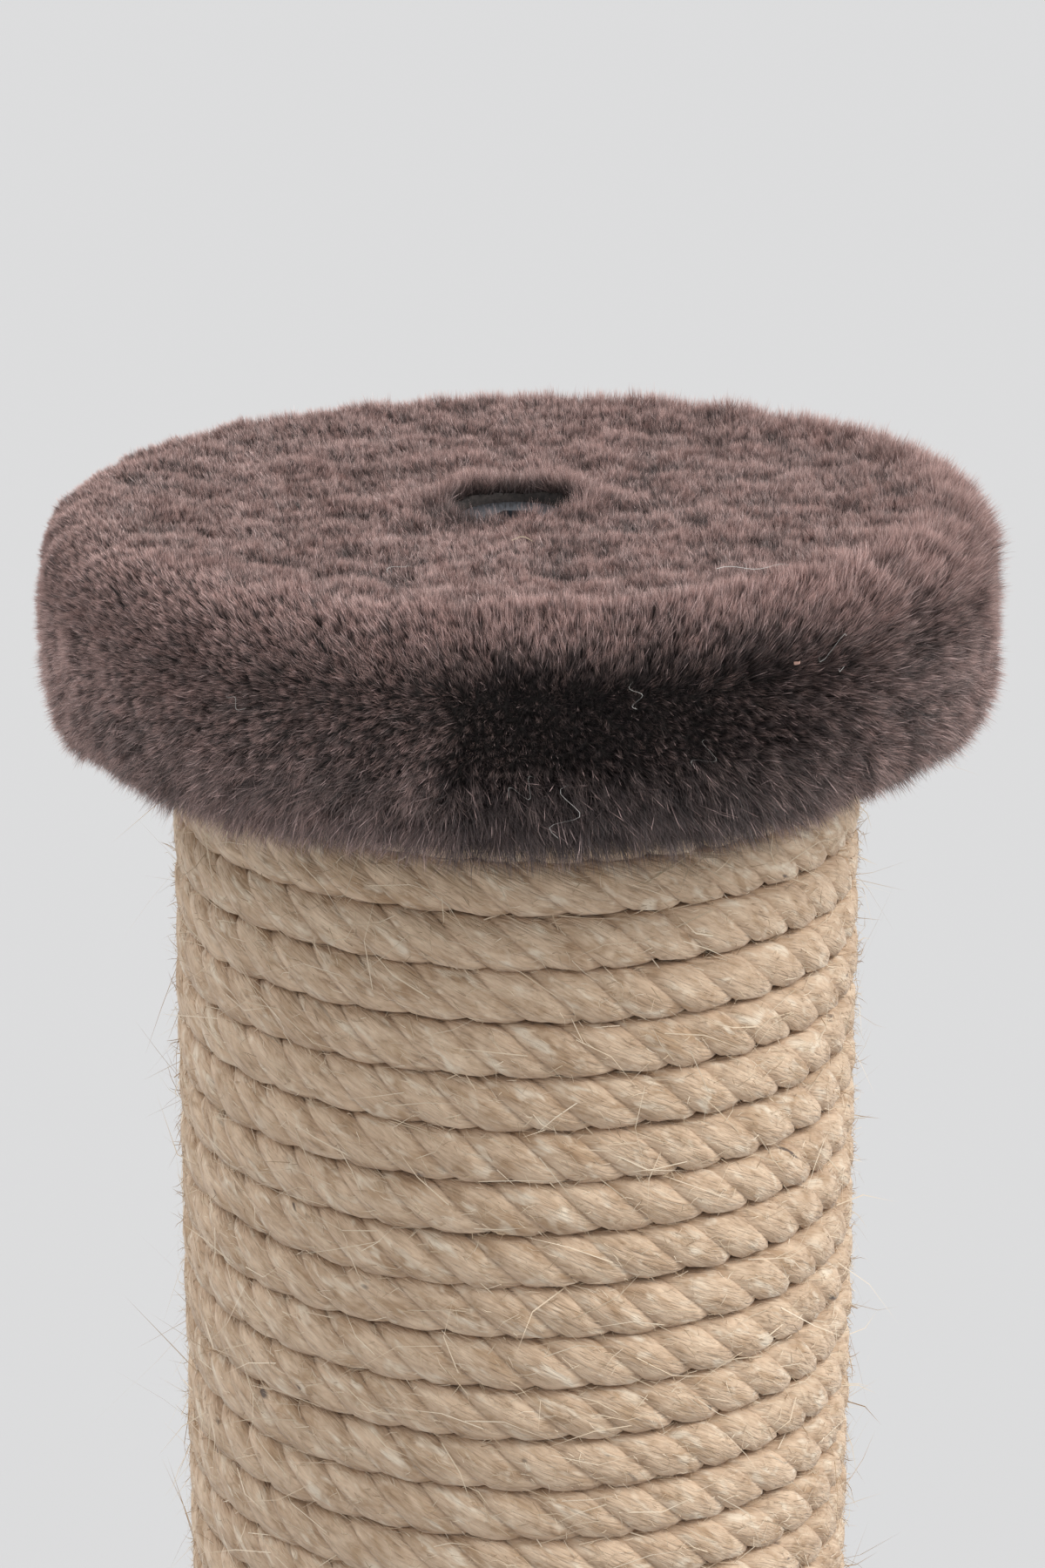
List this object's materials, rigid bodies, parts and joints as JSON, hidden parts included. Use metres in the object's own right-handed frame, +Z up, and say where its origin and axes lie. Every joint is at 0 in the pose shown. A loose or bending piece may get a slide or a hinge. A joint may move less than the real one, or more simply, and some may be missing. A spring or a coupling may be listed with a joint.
{
  "type": "cat scratching post",
  "caption": "Free-standing cat scratching post: rope-wound upright between a round plush-covered top plate with a bolt hole and a wider round plush-covered base on rubber feet.",
  "frame": {"origin": "on the floor, under the post's axis", "axes": "+Z up along the post; -Y faces the camera of the picture, +X to its right"},
  "size_m": [0.332, 0.332, 0.3895],
  "materials": {
    "plush": "short dark brown plush pile with a pinkish sheen",
    "jute": "natural three-strand jute rope with loose fibres",
    "chipboard": "raw chipboard",
    "cardboard": "spirally wound raw cardboard",
    "zinc_steel": "bright zinc plate",
    "rubber": "matt black rubber"
  },
  "bodies": {
    "root": {"top_plush_face": "plush", "top_plush_band": "plush", "base_plush_face": "plush", "base_plush_band": "plush", "rope_upper": "jute", "rope_lower": "jute", "top_board": "chipboard", "base_board": "chipboard", "top_plug": "chipboard", "bottom_plug": "chipboard", "post_tube": "cardboard", "top_bolt": "zinc_steel", "base_bolt": "zinc_steel", "base_washer": "zinc_steel", "top_tee_nut": "zinc_steel", "bottom_tee_nut": "zinc_steel", "top_plug_nails": "zinc_steel", "bottom_plug_nails": "zinc_steel", "top_cover_staples": "zinc_steel", "base_cover_staples": "zinc_steel", "foot_screws": "zinc_steel", "foot_back_right": "rubber", "foot_back_left": "rubber", "foot_front_left": "rubber", "foot_front_right": "rubber"}
  },
  "joints": []
}
